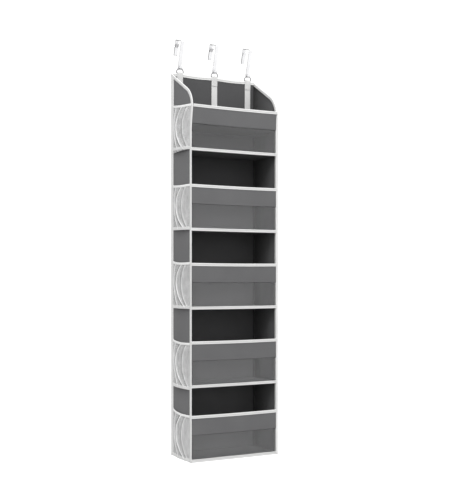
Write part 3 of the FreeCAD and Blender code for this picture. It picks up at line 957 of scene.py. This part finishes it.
def mesh_folds(u, v, row, sign):
    """Height of the gathered folds over the pocket's smooth shape."""
    total = 0.0
    for number in range(len(FOLDS)):
        off = fold_offset(u, v, row, sign, number)
        steep = off * (1.7 if off > 0 else 1.0)
        full = 0.35 + 0.65 * sin(pi * v) ** 0.5
        total += FOLD_HEIGHTS[number] * exp(-steep * steep) * full
    soft = 0.9 * MM * ripple(u * pocket_depth, v * 0.13, 24 * MM, 60 + row + sign)
    return (total + soft) * min(1.0, 9 * u * (1 - u))


def side_level(row):
    """How far a row's side pockets sit above its front pocket, read from the mesh wall's box."""
    low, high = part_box(f"right_mesh_pocket_{row}")
    return (low.z + high.z - rim[row] - floor[row]) / 2 - 0.5 * MM


def make_pocket(side, sign, row):
    """One mesh wall, gathered into long folds between its rim and its hem."""
    raised = side_level(row)
    foot = floor[row] - 3 * MM + raised

    def place(u, v):
        head = rim[row] + raised + rim_slope(u, row)
        off = pocket_bulge(u) + mesh_folds(u, v, row, sign)
        x = side_face + 0.45 * MM + off * (0.86 + 0.14 * v)
        return Vector((sign * x, pocket_front + u * pocket_depth, foot + v * (head - foot)))

    long = rim[row] + raised - foot
    piece = add_sheet(f"{side}_mesh_{row}", [(place, 110, 46, gathered_wide, long, False)], 0.4 * MM,
                      mesh_cloth, [f"{side}_mesh_pocket_{row}"],
                      gather_and_groove_shade=lambda u, v: gather_and_hollow_shade(u, v, row, sign))


def rim_patch(sign, row):
    """The elastic rim of one pocket, drawn into small ripples."""
    raised = side_level(row)

    def place(u, v):
        ripples = 0.22 * MM * sin(u * pocket_depth / (3.1 * MM) * 2 * pi + row)
        off = pocket_bulge(u) + mesh_folds(u, 1.0, row, sign) * 0.6 + ripples * sin(pi * v)
        x = side_face + 1.15 * MM + off
        z = rim[row] + raised + rim_slope(u, row) + (v - 0.5) * RIM_TALL
        return Vector((sign * x, pocket_front + u * pocket_depth, z))

    return place, 150, 8, gathered_wide, RIM_TALL, False


def foot_patch(sign, row):
    """The hem that closes one pocket: under it from the side panel, and up over the mesh's foot."""
    raised = side_level(row)

    def place(u, v):
        off = pocket_bulge(u) + mesh_folds(u, 0.0, row, sign) * 0.5
        outer = side_face + 1.0 * MM + off * 0.86
        inner = side_face + 0.3 * MM
        level = floor[row] + raised - HEM_TALL / 2 + hem_slope(u, row)
        if v < 0.5:
            return Vector((sign * (inner + (outer - inner) * 2 * v), pocket_front + u * pocket_depth, level))
        return Vector((sign * outer, pocket_front + u * pocket_depth, level + (2 * v - 1) * HEM_TALL))

    return place, 110, 12, pocket_depth, 16 * MM, False


def make_pockets():
    """All ten mesh pockets with their rims and hems."""
    rims = []
    feet = []
    for side, sign in SIDES.items():
        for row in ROWS:
            make_pocket(side, sign, row)
            rims.append(rim_patch(sign, row))
            feet.append(foot_patch(sign, row))
    add_sheet("mesh_pocket_rims", rims, 0.9 * MM, elastic_cloth, ["mesh_pocket_elastics"])
    add_sheet("mesh_pocket_feet", feet, 0.8 * MM, tape_cloth, ["mesh_pocket_hems"])


# ---- shelf


def make_shelf():
    """Lift-up shelf's sleeve, the tape that hinges it and the tabs that it rests on."""
    low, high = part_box("tray_shelf")
    patch, around = sleeve_patch(high.x, low, high, SHELF_THICK, 70)
    piece = add_sheet("shelf_sleeve", [patch], SHELF_THICK, shaded_inner_cloth, ["tray_shelf"],
                      "tray_shelf")

    tape_low, tape_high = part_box("shelf_hinge_tape")

    def hinge(u, v):
        x = tape_low.x + u * (tape_high.x - tape_low.x)
        z = tape_low.z + v * (tape_high.z - tape_low.z)
        return Vector((x, (tape_low.y + tape_high.y) / 2 + 0.06 * MM * ripple(x, z, 8 * MM, 72), z))

    size = tape_high - tape_low
    add_sheet("shelf_hinge_strip", [(hinge, 90, 8, size.x, size.z, False)],
              FLOOR_THICK, shaded_inner_cloth, ["shelf_hinge_tape"])

    tabs_low, tabs_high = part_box("shelf_rest_tabs")
    long = 24 * MM
    radius = 0.38 * MM
    reach = 8 * MM - radius
    patches = []
    for sign in SIDES.values():
        for start in (tabs_low.y, tabs_high.y - long):
            def place(u, v, sign=sign, start=start):
                aside, out = fold(v, reach, radius)
                return Vector((sign * (half_inner - reach - out), start + u * long,
                               (tabs_low.z + tabs_high.z) / 2 + aside))

            patches.append((place, 16, 14, long, fold_width(reach, radius), False))
    add_sheet("shelf_tabs", patches, BAND_THICK, shaded_inner_cloth, ["shelf_rest_tabs"])


# ---- straps


def smooth_line(points, rounds):
    """A line of points with its corners cut again and again."""
    for _ in range(rounds):
        cut = [points[0]]
        for first, second in zip(points, points[1:]):
            cut.append(first.lerp(second, 0.25))
            cut.append(first.lerp(second, 0.75))
        points = cut + [points[-1]]
    return points


def strap_line(side):
    """Side view of a strap: up the back panel, round the D-ring's bar and down over itself."""
    strap_low, strap_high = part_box(f"strap_{side}")
    joint = next(each for each in frame["joints"] if each["name"] == f"ring_{side}_swing")
    bar = Vector(joint["pos_m"])
    radius = 2.1 * MM
    rear = back_front - 0.6 * MM
    over_tape = top_tape_low.y - 0.65 * MM
    points = [(rear, strap_low.z), (rear, top - 60 * MM), (rear, top - 14 * MM),
              (over_tape, top - 9 * MM), (over_tape, top - 2 * MM)]
    turns = [radians(angle) for angle in range(240, 541, 20)]
    points += [(bar.y + radius * cos(turn), bar.z + radius * sin(turn)) for turn in turns]
    points += [(bar.y - radius, top - 6 * MM), (rear - 1.2 * MM, top - 16 * MM),
               (rear - 0.9 * MM, top - 30 * MM)]
    return smooth_line([Vector((0, y, z)) for y, z in points], 3), bar.x, strap_low, strap_high


def make_strap(side):
    """A strap of webbing."""
    line, centre, strap_low, strap_high = strap_line(side)
    ways = measured(line)
    half = (strap_high.x - strap_low.x) / 2

    def place(u, v):
        target = u * ways[-1]
        spot, part = segment_at(ways, target)
        point = line[spot].lerp(line[spot + 1], part)
        lean = 0.5 * MM * ripple(0, target, 80 * MM, 80 + centre * 10) * (1 - fade(u, 0.55, 0.75))
        return point + Vector((centre + (2 * v - 1) * half + lean, 0, 0))

    add_sheet(f"strap_webbing_{side}", [(place, 220, 14, ways[-1], 2 * half, False)], 1.05 * MM,
              webbing_cloth, [f"strap_{side}"])
    return centre, half


# ---- stitching rows


def sew_front():
    """Rows of stitches on the pocket fronts' tapes and on the bands' turned-up hems."""
    thread = Thread()
    hems = Thread()
    tape_face = front + 0.25 * MM
    band_face = front + 1.02 * MM
    wide = tape_inner - 1 * MM
    seam = TAPE_WIDE / 2 - MIDDLE_SEAM
    for row in ROWS:
        rows = [(thread, rim[row] - seam, 1.0, tape_face), (thread, floor[row] + seam, 0.35, tape_face)]
        rows += [(hems, rim[row] - down, 1.0, band_face) for down in HEM_ROWS]
        for kind, level, share, face in rows:
            def line(u, level=level, share=share, face=face):
                x = (2 * u - 1) * wide
                return Vector((x, face, level + share * rim_sag(x)))

            kind.run(line, Vector((0, -1, 0)))
    thread.make("front_stitches")
    hems.make("hem_stitches", material=grey_thread)


def sew_sides():
    """Rows of stitches along the sides' edge tapes, corner tapes, rims and hems."""
    thread = Thread()
    length = edge_length(TAPE_WIDE - STITCH_INSET, top_tape_low.y)
    for sign in SIDES.values():
        outwards = Vector((sign, 0, 0))
        inner, outer = FULLNESS[sign]
        for face, way_out in ((edge_high.x + STITCH_OFF + outer, outwards),
                              (edge_low.x - STITCH_OFF - inner, -outwards)):
            def line(u, face=face, sign=sign):
                point, _ = edge_point(u * length, TAPE_WIDE - STITCH_INSET)
                return point + Vector((sign * face, 0, 0))

            thread.run(line, way_out)
        for depth in (corner_low.y + STITCH_INSET, -2.4 * MM):
            thread.straight((sign * (corner_high.x + STITCH_OFF), depth, bottom + 2 * MM),
                            (sign * (corner_high.x + STITCH_OFF), depth,
                             top + depth * tan(SLOPE) - 4 * MM), outwards)
        for row in ROWS:
            for drop, height, gap in ((1.0, -2.2 * MM, 1.75 * MM), (0.0, 0.0, 1.55 * MM)):
                def hem(u, drop=drop, height=height, gap=gap, row=row, sign=sign):
                    u = 0.02 + 0.96 * u
                    off = pocket_bulge(u) + mesh_folds(u, drop, row, sign) * (0.6 if drop else 0.5)
                    level = rim[row] + rim_slope(u, row) if drop else floor[row] + hem_slope(u, row) + 3 * MM
                    return Vector((sign * (side_face + gap + off * (1 if drop else 0.86)),
                                   pocket_front + u * pocket_depth, level + side_level(row) + height))

                thread.run(hem, outwards)
    thread.make("side_stitches")


def sew_back(straps):
    """Stitches along the back's top tape, across its rear at each floor, and on the straps."""
    thread = Thread()
    forwards = Vector((0, -1, 0))
    for face, out in ((top_tape_low.y - STITCH_OFF, forwards), (-STITCH_OFF, -forwards)):
        def line(u, face=face):
            x = (2 * u - 1) * (half_inner - 2 * MM)
            return Vector((x, face, top - TAPE_WIDE + MIDDLE_SEAM + top_sag(x)))

        thread.run(line, out)
    rear_face = -0.2 * MM
    reach = half_inner - 2 * MM
    for row in ROWS:
        thread.straight((-reach, rear_face, floor[row]), (reach, rear_face, floor[row]), -forwards)
    for centre, half in straps:
        inset = half - 2.2 * MM
        face = back_front - 2.45 * MM
        upper, lower = top - 13 * MM, top - 28 * MM
        corners = [(centre - inset, face, lower), (centre + inset, face, lower),
                   (centre + inset, face - 0.25 * MM, upper), (centre - inset, face - 0.25 * MM, upper)]
        for first, second in ((0, 1), (1, 2), (2, 3), (3, 0), (0, 2), (1, 3)):
            thread.straight(corners[first], corners[second], forwards)
        foot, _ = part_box("strap_middle")
        for inset_x in (-inset, inset):
            thread.straight((centre + inset_x, back_front - 1.2 * MM, foot.z + 2 * MM),
                            (centre + inset_x, back_front - 1.2 * MM, lower - 4 * MM), forwards)
    thread.make("back_stitches")


# ---- carried-over nodes, stage and camera


def dress_nodes():
    """Better materials on the CAD nodes that are kept."""
    ring_steel = polished_steel("ring_steel", RING_TONES, 0.14, 0.26)
    hook_steel = polished_steel("hook_steel", HOOK_TONES, 0.34, 0.46, strip=True)
    board = cardboard("stiff_board")
    kept = {f"d_ring_{side}": ring_steel for side in STRAPS}
    kept.update({f"door_hook_{side}": hook_steel for side in STRAPS})
    kept.update({"floor_boards": board, "shelf_board": board})
    for name, material in kept.items():
        node = frame["nodes"][name]
        node.data.materials.clear()
        node.data.materials.append(material)


WHITE = (1, 1, 1, 1)
# the floor's size and depth under the organizer, in metres, and how much it shines by itself
FLOOR_HALF = 60.0
FLOOR_DOWN = 0.22
FLOOR_GLOW = 0.2
# brightness of the white cards all round, and the key light's place in metres, width and power
CARD = 1.15
KEY_PLACE = (-1.1, -3.0, 3.5)
KEY_WIDE = 2.4
KEY_WATTS = 105
# the level camera: its place in metres, turn from straight on, lens and upward shift
CAMERA_PLACE = (-1.425, -2.826, -0.050)
CAMERA_TURN = -27.47
CAMERA_LENS = 64.29
CAMERA_SHIFT = 0.0526


def make_stage():
    """Plain pale floor under the hanging organizer."""
    half = FLOOR_HALF
    level = bottom - FLOOR_DOWN
    mesh = bpy.data.meshes.new("studio_floor")
    corners = [(-half, -half, level), (half, -half, level), (half, half, level), (-half, half, level)]
    mesh.from_pydata(corners, [], [(0, 1, 2, 3)])
    made, tree, shader = new_material("pale_floor")
    shade = colour_from(tree, noise_node(tree, 3.0, 2.0), FLOOR_TONES)
    tree.links.new(shade, shader.inputs["Base Color"])
    set_inputs(shader, Roughness=0.9, Specular_IOR_Level=0.1)
    # it shines a little by itself, so that no shadow shows on it
    set_inputs(shader, Emission_Color=WHITE, Emission_Strength=FLOOR_GLOW)
    mesh.materials.append(made)
    plane = add_object("studio_floor", mesh)
    plane.visible_diffuse = False
    plane.visible_glossy = False


def make_light():
    """An even white studio with one soft key light from the front left."""
    world = bpy.data.worlds.new("studio")
    world.use_nodes = True
    tree = world.node_tree
    ground = set_inputs(tree.nodes["Background"], Color=WHITE)
    way = place_axes(tree, "Generated")
    # bright all round and above, dim below, where the floor gives little back, and weaker on the left
    height = mapped(tree, way["Z"], -0.35, -0.02, 0.25, 1.1)
    across = mapped(tree, way["X"], -1.0, 1.0, 1.02, 1.14)
    soft = times(tree, height, across)
    # cloth is lit softly; the ground, steel and film see even white cards
    on_cloth = add_node(tree, "LightPath").outputs["Is Diffuse Ray"]
    change = minus(tree, soft, CARD)
    strength = plus(tree, times(tree, change, on_cloth), CARD)
    tree.links.new(strength, ground.inputs["Strength"])
    bpy.context.scene.world = world
    data = bpy.data.lights.new("key", "AREA")
    data.shape = "SQUARE"
    data.size = KEY_WIDE
    data.energy = KEY_WATTS
    key = add_object("key", data)
    key.location = KEY_PLACE
    key.rotation_euler = (Vector((0, 0, 0)) - key.location).to_track_quat("-Z", "Y").to_euler()
    bpy.context.scene.view_settings.view_transform = "Standard"


def make_camera():
    """Level camera, from the front left."""
    data = bpy.data.cameras.new("camera")
    data.lens = CAMERA_LENS
    data.sensor_width = 36
    data.shift_y = CAMERA_SHIFT
    camera = add_object("camera", data)
    camera.location = CAMERA_PLACE
    camera.rotation_euler = (radians(90), 0, radians(CAMERA_TURN))
    bpy.context.scene.camera = camera


make_camera()
make_light()
make_stage()
dress_nodes()
make_back()
for side_name, side_sign in SIDES.items():
    make_side(side_name, side_sign)
for row_number in ROWS:
    make_band(row_number)
    make_window(row_number)
    make_cross_tapes(row_number)
    make_floor(row_number)
make_pockets()
make_shelf()
strap_places = [make_strap(side_name) for side_name in STRAPS]
sew_front()
sew_sides()
sew_back(strap_places)

bpy.context.view_layer.update()
